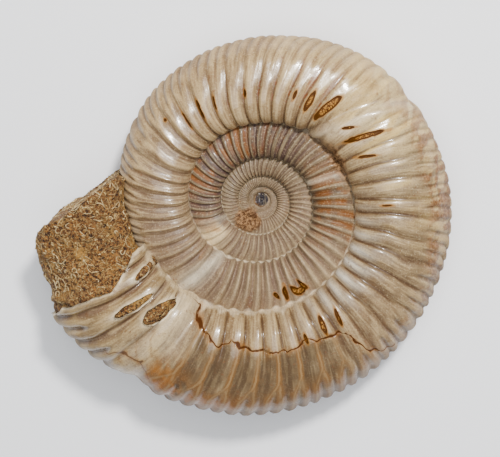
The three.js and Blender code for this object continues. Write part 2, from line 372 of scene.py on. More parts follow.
class Ground:
    """Places on the shell to be painted, their ribbing, and the noises that the colours follow."""

    def __init__(self, t, v, points, ridge):
        self.t, self.v, self.points, self.ridge = t, v, points, ridge
        self.low = 1 - ridge
        self.inner = smooth(-t, -15, 50)
        self.cloud = layered(points, 9.0, seed=41)
        self.patch = layered(points, 3.5, seed=42)
        self.small = layered(points, 1.4, seed=43)
        self.from_crack = crack_distance(t, v, points, CRACK)
        self.colour = over(BEIGE, CREAM, 0.35 + 0.8 * self.cloud + 0.3 * self.small)

    def lay(self, paint, amount):
        self.colour = over(self.colour, paint, amount)

    def tone(self, factor):
        self.colour = self.colour * factor[..., None]


def ground_tones(g):
    """Broad zones of colour, with painted shade darkening the grooves and painted highlight paling the
    crests.
    """
    t, v, inner = g.t, g.v, g.inner
    # Cool on the left and on the inner whorls, warm and pale over the top, greyer on the right.
    cool = np.maximum(inner, smooth(62 - t, 0, 55))
    g.lay(GREY, 0.75 * cool * (0.8 + 0.4 * g.patch))
    g.lay(CREAM, 0.6 * bump(t, 140, 34) * smooth(v, 0.16, 0.34))
    g.lay(GREY, 0.45 * bump(t, 215, 34))
    # Painted shade darkens the grooves over their own mauve-brown tone, most on the inner flank.
    left = smooth(75 - t, 0, 40) * (1 - inner)
    depth = np.interp(v, [0, 0.05, 0.12, 0.4, 0.6, 1.0], [0.1, 0.4, 0.85, 0.75, 0.6, 0.45])
    depth = depth * (1 - 0.7 * bump(t, 95, 45) * smooth(v, 0.42, 0.6)) * (1 - 0.35 * left)
    tone = over(GROOVE_TONE_AND_SHADE, MAUVE, 0.8 * cool + 0.3 * g.patch)
    g.lay(tone, depth * smooth(g.low, 0.25, 1.0))
    # Painted highlight: the crests are made paler, more so further from the seam.
    crest = CREAM * mix(0.85, 1.25, smooth(v, 0.1, 0.5))[..., None]
    g.lay(crest, 0.55 * smooth(g.ridge, 0.72, 1.05) * (0.7 + 0.4 * g.small))
    # Painted shade: the inner whorls and the foot of the last one are darker on the far side, around the top,
    # where their walls face away from the light.
    around = np.cos(np.radians(t - 80))
    foot = (1 - inner) * smooth(0.22 - v, 0, 0.2) * smooth(around, -0.2, 0.6)
    painted_far_shade = inner * smooth(around, -0.35, 0.55) * 0.36 + foot * 0.10
    g.tone(1 - painted_far_shade)


def clear_calcite(g):
    """Grey to brown clear calcite on the last quarter, outside the long crack. Returns how clear it is."""
    t, v = g.t, g.v
    outside = smooth(g.from_crack, -0.2, 1.4)
    clear = smooth(t, 222, 250) * smooth(308 - t - 8 * smooth(0.62 - v, 0, 0.2), 0, 8) * outside
    clear = np.clip(clear * (0.9 + 0.35 * g.patch), 0, 1)
    smoke = over(SMOKE, SMOKE_PATCH, 0.4 + 0.8 * g.patch)
    smoke = over(smoke, SMOKE_EDGE, 0.2 * smooth(v, 0.74, 0.92))
    g.lay(smoke * 0.60, clear * (1 - 0.15 * smooth(g.ridge, 0.8, 1.0)))
    return clear


def chalk_and_crusts(g):
    """Pale collars, the chalky stretch before the break, chalky rib feet with a painted highlight, and pale
    crusts along the seams that also lift their shade with painted light.
    """
    t, v, patch = g.t, g.v, g.patch
    for turn, ahead, width, _, _ in PAUSES:
        line = pause_line(t, v, turn, ahead)
        g.lay(WHITE * 1.15, (0.8 + 0.3 * patch) * bump(line, width, width * 0.85))
    chalky = bump(t, 306, 7) * (1 - smooth(v, 0.42, 0.58) * smooth(306 - t, 0, 3))
    g.lay(WHITE * 1.15, 0.7 * chalky * (0.8 + 0.5 * patch))
    g.lay(PINKISH_GREY, 0.8 * smooth(t, 306, 316) * smooth(g.low, 0.2, 0.7))
    phase = rib_phase(t, v)
    foot = bump(phase - np.floor(phase), 0.55, 0.26)
    # Chalky rib feet on the right, with a painted white highlight on them.
    feet = bump(t, 212, 26) * np.interp(v, [0.02, 0.07, 0.18, 0.34], [0, 1, 0.9, 0]) * foot
    g.lay(CHALK_AND_HIGHLIGHT, 1.1 * feet)
    crust = smooth(0.07 - v + 0.04 * g.small + 0.045 * foot, 0, 0.03) * smooth(t, 232, 262)
    under_seam = smooth(v - COVERED + 0.045 + 0.03 * patch, 0, 0.02)
    crust = crust + under_seam * smooth(t, -128, -98) * smooth(-t, 20, 40)
    g.lay(WHITE * 1.35, 0.9 * crust)
    # Pale crust along the seams, also painted light that lifts the shade in the seam; stronger on the lower
    # half.
    rim = smooth(0.055 + 0.02 * patch - v, 0, 0.03) + smooth(v - COVERED + 0.03, 0, 0.015) * g.inner
    lower_half = smooth(-np.cos(np.radians(t - 60)), -0.3, 0.5)
    g.lay(WHITE * 1.3, (0.5 + 0.4 * lower_half) * rim)


def marbling_and_stains(g):
    """Stains along the long crack, a painted highlight and marbling at the upper right, and yellow stone with
    veins by the break.
    """
    t, v, patch, small = g.t, g.v, g.patch, g.small
    stained = bump(g.from_crack, 0, 1.3) * smooth(patch + 0.4 * small, 0.0, 0.35)
    g.lay(STAIN, 0.75 * stained * smooth(t, 238, 250) * smooth(296 - t, 0, 8))
    streak = layered(np.stack([t / 3.2, v * 3.6 + 0.02 * t, 0 * t], -1), 1.0, seed=45)
    marbled = bump(t, 155, 30) * smooth(v, 0.22, 0.45)
    # Painted highlight: a pale sunny patch on the upper right shoulder, where the light catches it.
    g.lay(TOP_HIGHLIGHT, 0.55 * bump(t, 140, 22) * smooth(v, 0.3, 0.5))
    g.lay(YELLOW, 0.8 * marbled * smooth(streak, 0.05, 0.4))
    g.lay(GREENISH, 0.6 * marbled * smooth(-streak, 0.08, 0.45))
    veins = np.abs(layered(g.points, 6.0, seed=47))
    near_break = smooth(t, 298, 306) * smooth(v, 0.25, 0.45)
    g.lay(HONEY, 0.6 * near_break * smooth(patch, -0.1, 0.4))
    g.lay(AMBER, 0.6 * near_break * smooth(0.07 - veins, 0, 0.05) * smooth(g.cloud, -0.4, 0.1))
    # Pinkish stripes beyond the top.
    stripes = bump(t, 115, 13) * bump(v, 0.56, 0.16) * smooth(g.low + 0.3 * small, 0.25, 0.6)
    g.lay(PINK, 1.1 * stripes)


def rusty_edge(g):
    """Mottled rust along the right edge. Returns where it is."""
    edge = bump(g.t, 180, 38) * smooth(g.v + 0.06 * g.patch, RUSTY_FROM, RUSTY_FROM + 0.10)
    rusty = edge * smooth(g.small + 0.4 * noise(g.points, 0.8, seed=46), -0.3, 0.1)
    g.lay(RUST, 0.95 * rusty)
    g.lay(PALE_RUST, 0.6 * edge * smooth(-g.small, 0.1, 0.35))
    return rusty


def deepen(g):
    """Violet and orange grooves on the second whorl, and the deeper tones of whole stretches."""
    t, v, patch, small = g.t, g.v, g.patch, g.small
    violet = smooth(-t, 215, 262) * smooth(t, -395, -365)
    g.lay(VIOLET, 0.75 * violet * smooth(g.low, 0.1, 0.6))
    second = smooth(-t, 240, 285) * smooth(t, -368, -335) + bump(t, -182, 24) + 0.5 * bump(t, -375, 10)
    orange = smooth(g.low, 0.15, 0.6) * smooth(patch + 0.3 * small, -0.35, 0.2) * smooth(v, 0.08, 0.25)
    g.lay(ORANGE, second * orange)
    g.tone(1 - 0.40 * np.clip(second + 0.75 * violet, 0, 1) - 0.10 * bump(t, -245, 16))
    g.colour = g.colour * mix(1, COOLER, g.inner[..., None])
    # The right side and the stretch before the break.
    right = bump(t, 196, 38) * smooth(v, 0.12, 0.3)
    g.tone(1 - 0.36 * right - 0.24 * smooth(t, 304, 316))
    g.colour = g.colour * mix(1, WARMER, smooth(t, 298, 308)[..., None])
    blotch = bump(t, -78, 16) * smooth(v, 0.40, 0.58) * smooth(patch + 0.4 * small, -0.25, 0.25)
    g.lay(BLOTCH, 0.5 * blotch)
    g.tone(1 + 0.16 * bump(t, -105, 40))


def amber_and_crust(g, clear):
    """Amber by the clear calcite's edge and forks, and a yellowish crust on the left of the second whorl."""
    t, v, patch, small = g.t, g.v, g.patch, g.small
    amber = bump(t, 299, 5.5) * bump(v, 0.66, 0.14) + 0.7 * bump(t, 286, 12) * bump(v, 0.76, 0.09)
    amber = 1.2 * amber + 0.3 * clear * smooth(v, 0.55, 0.8)
    forks = clear * bump(v, 0.71, 0.07) * smooth(g.ridge, 0.35, 0.7) * smooth(g.cloud, -0.5, 0.1)
    g.lay(FORK_BROWN, 0.7 * forks)
    g.lay(AMBER / WARMTH, amber * smooth(patch + 0.5 * small, -0.6, 0.1))
    crusty = bump(t, -396, 9) * smooth(v + 0.08 * patch, 0.18, 0.34)
    g.lay(CRUST, 0.85 * crusty)
    g.lay(CRUST_BROWN, 0.8 * crusty * smooth(patch + 0.5 * small, 0.15, 0.45))


def earthy(g):
    """Where earth is left: in seams at the top right, round the centre, and in spots at the left."""
    t, v, patch, small = g.t, g.v, g.patch, g.small
    soil = bump(t, 149, 14) * smooth(0.23 - 0.003 * (t - 140) - v + 0.08 * patch, 0, 0.07)
    soil = soil + bump(t, -208, 15) * smooth(v + 0.06 * patch, COVERED - 0.17, COVERED - 0.07)
    in_middle = np.hypot(g.points[..., 0] + 3.6, g.points[..., 1] + 5.0)
    soil = soil + g.inner * smooth(3.7 + 0.9 * patch + 0.8 * small - in_middle, 0, 1.2)
    return soil + bump(t, -45, 12) * bump(v, 0.3, 0.12) * 0.6 * smooth(small, 0, 0.5)


def paint_shell(t, v, points, ridge):
    """Colour of the shell, how clear its calcite is and how earthy or rusty it is, both from 0 to 1."""
    g = Ground(t, v, points, ridge)
    ground_tones(g)
    clear = clear_calcite(g)
    chalk_and_crusts(g)
    marbling_and_stains(g)
    rusty = rusty_edge(g)
    deepen(g)
    amber_and_crust(g, clear)
    soil = earthy(g)
    g.lay(EARTH / WARMTH, 0.8 * soil)
    colour = g.colour * WARMTH * (1 + 0.10 * g.small + 0.08 * noise(points, 0.7, seed=44))[..., None]
    return np.clip(colour, 0.005, 0.95), clear, np.clip(np.maximum(soil, 0.5 * rusty), 0, 1)


def matt_share(t, v, soil):
    """How little polish the shell has, from 0 to 1."""
    matt = np.maximum(np.maximum(soil, 0.75 * smooth(-t, -10, 40)), 0.9 * smooth(v, 0.70, 0.92))
    return np.maximum(matt, 0.4 * bump(t, 192, 32) * smooth(v, 0.22, 0.34))


def groove_marks(t, v, phase, clear):
    """Where grooves hold a line of rusty dots, and how much painted shade darkens their bottoms."""
    some = smooth(noise(np.stack([phase, v, v], -1), 1.7, 7), -0.5, 0.3)
    dots = bump(t, 105, 38) * bump(v, 0.40, 0.10) * some
    dark = np.interp(v, [0, 0.04, 0.12, 0.4, 0.6, 1], [0, 0, 0.8, 0.75, 0.5, 0.35])
    dark = dark * (1 - clear) * (1 - 0.45 * smooth(-t, 20, 60)) * (1 - 0.35 * smooth(130 - t, 0, 60))
    dark = dark * (1 - 0.6 * bump(t, 95, 45) * smooth(v, 0.42, 0.6))
    for turn, ahead, width, _, _ in PAUSES:
        dark = dark * (1 - 0.9 * bump(pause_line(t, v, turn, ahead), width * 0.4, width * 1.3))
    return dots, dark


# ---- meshes
lean_axis = Vector((0, 0, 1)).cross(
    Vector((-math.cos(math.radians(REST_TOWARDS)), math.sin(math.radians(REST_TOWARDS)), 0)))
coil_to_part = Matrix.Translation(Vector(COIL_CENTRE)) @ Matrix.Rotation(REST_LEAN, 4, lean_axis)
coil_rotation = np.array(coil_to_part.to_3x3())
coil_offset = np.array(coil_to_part.translation)


def to_part(points):
    """From mm in the coil's frame to metres in the part's."""
    return (points @ coil_rotation.T + coil_offset) * MM


ATTRIBUTE_KINDS = {1: ("FLOAT", "value"), 3: ("FLOAT_VECTOR", "vector"), 4: ("FLOAT_COLOR", "color")}


def new_object(name, points, faces, attributes):
    """A smooth mesh from points in metres, faces as lists of corners, and values for each point."""
    mesh = bpy.data.meshes.new(name)
    mesh.from_pydata(points.tolist(), [], faces)
    for attribute, values in attributes.items():
        kind, field = ATTRIBUTE_KINDS[values.size // len(values)]
        data = mesh.attributes.new(attribute, kind, "POINT").data
        data.foreach_set(field, values.astype(np.float32).ravel())
    mesh.validate()
    mesh.polygons.foreach_set("use_smooth", [True] * len(mesh.polygons))
    obj = bpy.data.objects.new(name, mesh)
    bpy.context.scene.collection.objects.link(obj)
    return obj


def snap_to_rims(t, v, opened):
    """Moves the grid points nearest to an opening's rim onto it, where their distance becomes 0."""
    shift_t, shift_v, hits = np.zeros_like(t), np.zeros_like(t), np.zeros_like(t)
    for a, b in ((np.s_[:-1, :], np.s_[1:, :]), (np.s_[:, :-1], np.s_[:, 1:])):
        crossing = opened[a] * opened[b] < 0
        share = np.where(crossing, opened[a] / np.where(crossing, opened[a] - opened[b], 1), 0)
        for mine, other, s in ((a, b, share), (b, a, 1 - share)):
            near = crossing & (s <= 0.5)
            shift_t[mine] += np.where(near, (t[other] - t[mine]) * s, 0)
            shift_v[mine] += np.where(near, (v[other] - v[mine]) * s, 0)
            hits[mine] += near
    t = t + shift_t / np.maximum(hits, 1)
    v = v + shift_v / np.maximum(hits, 1)
    return t, v, np.where(hits > 0, 0, opened)


def grid_faces(opened, flipped):
    """Quads between a grid's points, triangles where an opening takes a corner off, and nothing inside it."""
    rows, columns = opened.shape
    index = np.arange(rows * columns).reshape(rows, columns)
    quads = np.stack([index[:-1, :-1], index[:-1, 1:], index[1:, 1:], index[1:, :-1]], -1).reshape(-1, 4)
    if flipped:
        quads = quads[:, ::-1]
    flat = opened.ravel()
    lowest, highest = flat[quads].min(1), flat[quads].max(1)
    faces = quads[(lowest >= 0) & (highest > 0)].tolist()
    for quad in quads[(lowest < 0) & (highest > 0)]:
        for n in range(4):
            a, b, c = quad[n - 1], quad[n], quad[(n + 1) % 4]
            if flat[a] >= 0 and flat[b] > 0 and flat[c] >= 0 and flat[quad[(n + 2) % 4]] < 0:
                faces.append([int(a), int(b), int(c)])
    return faces


def rim_edges(faces, opened):
    """The edges between two points on an opening's rim that only one face has."""
    on_rim = opened.ravel() == 0
    sides = [pair for face in faces for pair in zip(face, face[1:] + face[:1])]
    seen = dict.fromkeys((a, b) for a, b in sides if on_rim[a] and on_rim[b])
    return [(a, b) for a, b in seen if (b, a) not in seen]


class Sheet:
    """Gathers grids of shell surface into one mesh, with openings left out and some wall at their rims."""

    def __init__(self):
        self.parts = []
        self.faces = []
        self.count = 0

    def add(self, t, v, side):
        """A grid over turn angles t and path shares v on one side."""
        t, v = np.meshgrid(t, v, indexing="ij")
        opened = opening_distance(t, v, side, plain_surface(t, v, side))
        t, v, opened = snap_to_rims(t, v, opened)
        points, ridge = shell_surface(t, v, side)
        colour, clear, soil = paint_shell(t, v, points, ridge)
        colour = over(colour, WHITE, 0.75 * bump(opened, 0.0, 0.6))
        normal = np.cross(np.gradient(points, axis=0), np.gradient(points, axis=1))
        normal /= np.maximum(np.linalg.norm(normal, axis=-1, keepdims=True), 1e-9)
        normal *= -side
        points = points + normal * (RIM_LIP * bump(opened, 0.25, 0.35))[..., None]
        phase = rib_phase(t, v)
        dots, dark = groove_marks(t, v, phase, clear)
        values = {
            "points": points,
            "tint": np.concatenate([colour, np.ones_like(t)[..., None]], -1),
            "coil": np.stack([phase, v * HALF_PATH * venter_radius(t), matt_share(t, v, soil)], -1),
            "marks": shell_marks(t, v, side, points),
            "form": np.stack([clear, forking(v, smooth(-t, 20, 60)), soil], -1),
            "dots": dots,
            "dark": dark,
        }
        values = {key: value.reshape(t.size, -1) for key, value in values.items()}
        faces = grid_faces(opened, side > 0)
        # The rims go inwards by the wall's visible depth.
        rim = rim_edges(faces, opened)
        rim_points = sorted({corner for edge in rim for corner in edge})
        below = {corner: t.size + n for n, corner in enumerate(rim_points)}
        wall = {key: value[rim_points] for key, value in values.items()}
        wall["points"] = wall["points"] - normal.reshape(-1, 3)[rim_points] * RIM_DEPTH
        wall["tint"][:, :3] = RIM
        faces += [[b, a, below[a], below[b]] for a, b in rim]
        self.append({key: np.concatenate([value, wall[key]]) for key, value in values.items()}, faces)

    def append(self, values, faces):
        self.parts.append(values)
        self.faces += [[corner + self.count for corner in face] for face in faces]
        self.count += len(values["points"])

    def build(self, name):
        joined = {key: np.concatenate([part[key] for part in self.parts]) for key in self.parts[0]}
        points = to_part(joined.pop("points"))
        points[:, 2] = np.maximum(points[:, 2], 0)
        # Points of neighbouring grids that fall together become one, and unused points go.
        _, first, inverse = np.unique(np.round(points, 8), axis=0, return_index=True, return_inverse=True)
        inverse = inverse.ravel()
        faces = [[int(inverse[c]) for c in face] for face in self.faces]
        faces = [face for face in faces if len(set(face)) == len(face)]
        used = np.zeros(len(first), bool)
        used[np.concatenate([np.array(face) for face in faces])] = True
        renumber = np.cumsum(used) - 1
        faces = [[int(renumber[c]) for c in face] for face in faces]
        kept = first[used]
        return new_object(name, points[kept], faces, {key: values[kept] for key, values in joined.items()})


# ---- marks on the shell
# Wear spots between the ribs, as lenses without their last value, which is 0.
SPOTS = (
    (116.0, 0.385, 2.8, 0.75, 0.5), (124.5, 0.395, 4.0, 1.15, 4.0), (138.0, 0.37, 1.5, 0.5, 4.0),
    (145.0, 0.405, 5.2, 0.75, 6.0), (153.5, 0.335, 2.0, 0.4, 2.5), (108.5, 0.395, 1.3, 0.4, 0.5),
    (51.5, 0.425, 1.9, 0.28, 1.0), (60.5, 0.41, 2.6, 0.35, 1.0), (68.5, 0.40, 1.9, 0.28, 1.0),
    (84.5, 0.40, 0.9, 0.35, 0.0), (43.5, 0.57, 0.5, 0.45, 0.0), (177.5, 0.355, 1.3, 0.35, 0.0),
    (233.0, 0.315, 2.3, 0.6, 2.0), (240.5, 0.30, 2.5, 0.75, 1.0), (249.5, 0.32, 1.2, 0.5, 0.0),
    (-106.5, 0.50, 2.0, 0.55, 0.0), (-113.0, 0.53, 1.9, 0.75, -3.0), (-115.5, 0.56, 1.0, 1.3, 2.0),
    (-118.5, 0.50, 1.5, 0.6, -3.0), (-100.5, 0.50, 0.9, 0.6, -2.0),
)
# Cracks: turn, path share of each bend.
CRACK = (
    (226.0, 0.80), (229.0, 0.75), (232.5, 0.66), (233.6, 0.545), (234.6, 0.445), (236.5, 0.40), (247.0, 0.35),
    (249.5, 0.32), (255.5, 0.355), (268.5, 0.325), (277.0, 0.285), (281.0, 0.25), (285.5, 0.31),
    (290.0, 0.27), (294.5, 0.22), (298.5, 0.15), (301.0, 0.06),
)
SIDE_CRACK = ((296.5, 0.855), (303.5, 0.69), (307.0, 0.60), (312.0, 0.605), (316.0, 0.695))
UNDERSIDE_SHIFT = 47  # degrees of turn that the marks on the lower side are moved along
NO_MARK = 20.0  # a distance that is out of reach of every mark


def crack_distance(t, v, points, bends):
    """Signed distance in mm to a crack, measured square to it."""
    x, y = np.array(bends).T
    at = np.interp(t, x, y)
    slope = np.interp(t + 0.5, x, y) - np.interp(t - 0.5, x, y)
    mm_per_turn, mm_per_share = scales(t, v)
    steep = np.hypot(1, slope * mm_per_share / mm_per_turn)
    d = (v - at) * mm_per_share / steep
    past = np.maximum(np.maximum(x[0] - t, t - x[-1]), 0) * mm_per_turn
    jagged = 0.5 * noise(points, 1.6, seed=51) + 0.3 * noise(points, 0.7, seed=53)
    wide = 0.85 + 0.7 * smooth(t, 288, 299) * (bends is CRACK)
    wide = wide + 0.8 * smooth(noise(points, 2.2, seed=54), 0.1, 0.6)
    return (d + np.sign(d) * past * 2 + jagged) / wide


def shell_marks(t, v, side, points):
    """Distances in mm to the wear spots, to the long crack and to the short one."""
    if side < 0:
        t = t + UNDERSIDE_SHIFT
    spots = lens_distance(t, v, [(*spot, 0) for spot in SPOTS], NO_MARK) + 0.12 * noise(points, 0.9, seed=52)
    cracks = [crack_distance(t, v, points, bends) for bends in (CRACK, SIDE_CRACK)]
    return np.stack([spots, *cracks], -1)


# The inner whorls in stretches: first and last turn, steps along, sixths of the last whorl's steps across,
# and shares of the path that they reach below the seam and under the next whorl.
INNER_WHORLS = (
    (-380, -60, 560, 6, 0.06, 0.05),
    (-740, -380, 500, 4, 0.08, 0.06),
    (-1100, -740, 400, 3, 0.1, 0.08),
    (-1480, -1100, 220, 3, 0.1, 0.08),
    (-2300, -1480, 240, 1, 0.1, 0.08),
)


def whorl_grids(sheet, side, fineness):
    """All of one side. fineness 1 is the side that is looked at most."""
    steps = max(int(36 * fineness), 8)
    outer_steps = max(int(22 * fineness), 8)
    outer = np.linspace(COVERED, 1.0, outer_steps + 1)
    shares = np.concatenate([np.linspace(-0.05, COVERED, steps + 2), outer[1:]])
    sheet.add(np.linspace(LAST_WHORL_FROM, SHELL_END, 903), shares, side)
    # The band under the next whorl, which shows through the openings and under the core.
    sheet.add(np.linspace(-60, LAST_WHORL_FROM, 51), shares, side)
    for start, end, along, sixths, below, above in INNER_WHORLS:
        shares = np.linspace(-below, COVERED + above, max(steps * sixths // 6, 7))
        sheet.add(np.linspace(start, end, int(along * max(fineness, 0.7))), shares, side)


PLUG_RADIUS = 2.3
CRYSTAL = srgb(30, 30, 38)
CRYSTAL_GLINT = srgb(140, 140, 150)


def centre_plug(sheet, side):
    """The first chamber of all, a low knob of dark crystal that closes the middle of the coil."""
    turn, out = np.meshgrid(np.linspace(0, 2 * np.pi, 49), np.linspace(0, PLUG_RADIUS, 19), indexing="ij")
    x, y = out * np.cos(turn), out * np.sin(turn)
    flat = np.stack([x, y, np.full_like(x, 9.0 * side)], -1)
    knobs = 0.16 * noise(flat, 0.55, seed=81) + 0.10 * noise(flat, 0.3, seed=82)
    height = 0.80 + 0.15 * (1 - (out / PLUG_RADIUS) ** 2) + 1.4 * knobs - 0.8 * smooth(out, 1.7, PLUG_RADIUS)
    points = np.stack([x, y, side * height], -1).reshape(-1, 3)
    colour = over(CRYSTAL, CRYSTAL_GLINT, smooth(noise(points, 0.45, seed=83), 0.4, 0.9))
    colour = over(colour, EARTH, smooth(np.hypot(points[:, 0] - 0.3, points[:, 1] - 0.3), 1.5, 2.2))
    none, one = np.zeros((x.size, 1)), np.ones((x.size, 1))
    sheet.append({
        "points": points,
        "tint": np.hstack([colour, one]),
        "coil": np.hstack([points[:, :1] * 0.2, points[:, 1:2], one]),
        "marks": np.full((x.size, 3), NO_MARK),
        "form": np.zeros((x.size, 3)),
        "dots": none,
        "dark": none,
    }, grid_faces(np.ones_like(x), side < 0))


sheet = Sheet()
whorl_grids(sheet, 1, 1.0)
whorl_grids(sheet, -1, 0.55)
centre_plug(sheet, 1)
centre_plug(sheet, -1)
shell = sheet.build("ammonite_shell")


# ---- the sediment core
CORE_GRAIN = 0.50  # edge of the voxels that the core's skin is made from
CORE_ROUNDING = 14  # times that the skin is smoothed
BARE_FROM = 331.0  # turn where the core comes out of the shell
FRAGMENTS = 480
BAR_CORNERS = 6  # round a fragment's section


def core_surface():
    """The CAD core with a fine, even skin: its points in mm, normals and faces."""
    obj = bpy.data.objects.new("core_source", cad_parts["sediment_core"].data.copy())
    bpy.context.scene.collection.objects.link(obj)
    remesh = obj.modifiers.new("even", "REMESH")
    remesh.mode = "VOXEL"
    remesh.voxel_size = CORE_GRAIN * MM
    rounding = obj.modifiers.new("rounding", "SMOOTH")
    rounding.factor = 0.5
    rounding.iterations = CORE_ROUNDING
    done = obj.evaluated_get(bpy.context.evaluated_depsgraph_get())
    skin = bpy.data.meshes.new_from_object(done)
    points, normals = np.empty((2, len(skin.vertices) * 3))
    skin.vertices.foreach_get("co", points)
    skin.vertices.foreach_get("normal", normals)
    faces = [list(face.vertices) for face in skin.polygons]
    bpy.data.objects.remove(obj)
    return points.reshape(-1, 3) / MM, normals.reshape(-1, 3), faces


core_points, core_normals, core_faces = core_surface()
in_coil = (core_points - coil_offset) @ coil_rotation
core_turn = (180 - np.degrees(np.arctan2(in_coil[:, 1], in_coil[:, 0]))) % 360
core_turn = np.where(core_turn < 60, core_turn + 360, core_turn)
bare = smooth(core_turn, BARE_FROM, BARE_FROM + 2.5)
# Where the core faces a hole it fills it almost to the shell's outer skin.
core_radius = np.hypot(in_coil[:, 0], in_coil[:, 1])
core_share = np.interp(core_radius / venter_radius(core_turn), profile_radius, path)
facing = hole_distance(core_turn, core_share, in_coil)
filled = smooth(0.9 - facing, 0, 1.0) * smooth(core_normals @ coil_rotation[:, 2], 0.2, 0.5)
rough = 0.75 * layered(core_points, 6.0, seed=61) + 0.45 * noise(core_points, 2.2, seed=64)
rough += 0.28 * noise(core_points, 1.0, seed=65)
brink = np.exp(-np.abs((core_turn - BARE_FROM - 0.5) / 4.0) ** 4)
relief, _ = shell_relief(core_turn, np.clip(core_share, 0, 1), in_coil)
far_side = smooth(core_normals @ np.array([-0.55, 0.83, 0.0]), 0.2, 0.7) * bare
level = mix(0.2, 1.7 + relief, np.maximum(filled, 0.85 * brink)) - 1.3 * far_side
core_points = core_points + core_normals * (level + mix(0.12, 1.0, bare) * rough)[:, None]


def fragment_line(random, surface, origin):
    """The middle of a curled bit of shell or a sliver, as places on the rock, normals and thicknesses."""
    _, up, _, _ = surface.find_nearest(origin)
    across = up.orthogonal().normalized()
    across.rotate(Matrix.Rotation(random.uniform(0, 2 * math.pi), 3, up))
    along = up.cross(across)
    curled = random.random() < 0.62
    if curled:
        radius = random.uniform(0.35, 1.2) if random.random() < 0.82 else random.uniform(1.3, 2.6)
        sweep_angle = random.uniform(1.2, 4.4)
        thick = random.uniform(0.08, 0.20)
        flatten = random.uniform(0.45, 1.0)
        uneven = random.uniform(-0.5, 0.5)
        steps = 14
    else:
        length = random.uniform(0.8, 3.4)
        thick = random.uniform(0.08, 0.17)
        steps = 7
    line = []
    for step in range(steps + 1):
        s = step / steps
        if curled:
            a = (s - 0.5) * sweep_angle
            reach = radius * (1 + uneven * (s - 0.5) + 0.12 * math.sin(5 * s + 9 * uneven))
            spot = origin + across * (reach * math.cos(a) - radius) + along * (reach * flatten * math.sin(a))
        else:
            spot = origin + along * (length * (s - 0.5)) + across * (0.12 * length * (s - 0.5) ** 2)
        found, facing, _, _ = surface.find_nearest(spot)
        size = thick * math.sqrt(max(0.03, 1 - (2 * s - 1) ** 4))
        line.append((found + facing * thick * 0.45, facing, size))
    return line


def fragment_bar(line, start):
    """A closed tapering bar along a middle line: its points, and its faces from corner number start."""
    points, faces = [], []
    last = len(line) - 1
    for step, (middle, facing, size) in enumerate(line):
        ahead = (line[min(step + 1, last)][0] - line[max(step - 1, 0)][0]).normalized()
        beside = ahead.cross(facing).normalized()
        for corner in range(BAR_CORNERS):
            a = 2 * math.pi * corner / BAR_CORNERS
            points.append(middle + beside * (size * math.cos(a)) + facing * (size * 1.25 * math.sin(a)))
    for ring in range(start, start + last * BAR_CORNERS, BAR_CORNERS):
        for corner in range(BAR_CORNERS):
            a, b = ring + corner, ring + (corner + 1) % BAR_CORNERS
            faces.append([a, b, b + BAR_CORNERS, a + BAR_CORNERS])
    first_ring = list(range(start, start + BAR_CORNERS))
    faces.append(first_ring[::-1])
    faces.append([corner + last * BAR_CORNERS for corner in first_ring])
    return points, faces


def fragments(surface, sites, start):
    """Bits of shell that stand out of the rock: points, faces from corner number start, and shades."""
    random = np.random.default_rng(7)
    points, faces, shades = [], [], []
    for _ in range(FRAGMENTS):
        origin = Vector(core_points[sites[random.integers(len(sites))]])
        line = fragment_line(random, surface, origin)
        bar_points, bar_faces = fragment_bar(line, start + len(points))
        points += bar_points
        faces += bar_faces
        shades += [random.uniform(0.2, 1.0)] * len(bar_points)
    return np.array(points), faces, np.array(shades)


rock = BVHTree.FromPolygons(core_points.tolist(), core_faces)
open_sites = np.flatnonzero((bare > 0.95) & (core_normals[:, 2] > -0.3))
bits, bit_faces, bit_shades = fragments(rock, open_sites, len(core_points))
rock_points = np.concatenate([core_points, bits]) * MM
rock_points[:, 2] = np.maximum(rock_points[:, 2], 0)
core = new_object("sediment_core_rock", rock_points, core_faces + bit_faces,
                  {"chip": np.concatenate([np.zeros(len(core_points)), bit_shades]),
                   "stain": np.concatenate([layered(core_points, 5.0, seed=66), np.zeros(len(bits))])})


# ---- materials
def colour4(*levels):
    return (*srgb(*levels), 1.0)


class Value:
    """A node's output. Sums with it make math nodes."""

    def __init__(self, nodes, socket):
        self.nodes = nodes
        self.socket = socket

    def __add__(self, other):
        return self.nodes.math("ADD", self, other)

    def __sub__(self, other):
        return self.nodes.math("SUBTRACT", self, other)

    def __rsub__(self, other):
        return self.nodes.math("SUBTRACT", other, self)

    def __mul__(self, other):
        return self.nodes.math("MULTIPLY", self, other)

    def __abs__(self):
        return self.nodes.math("ABSOLUTE", self)


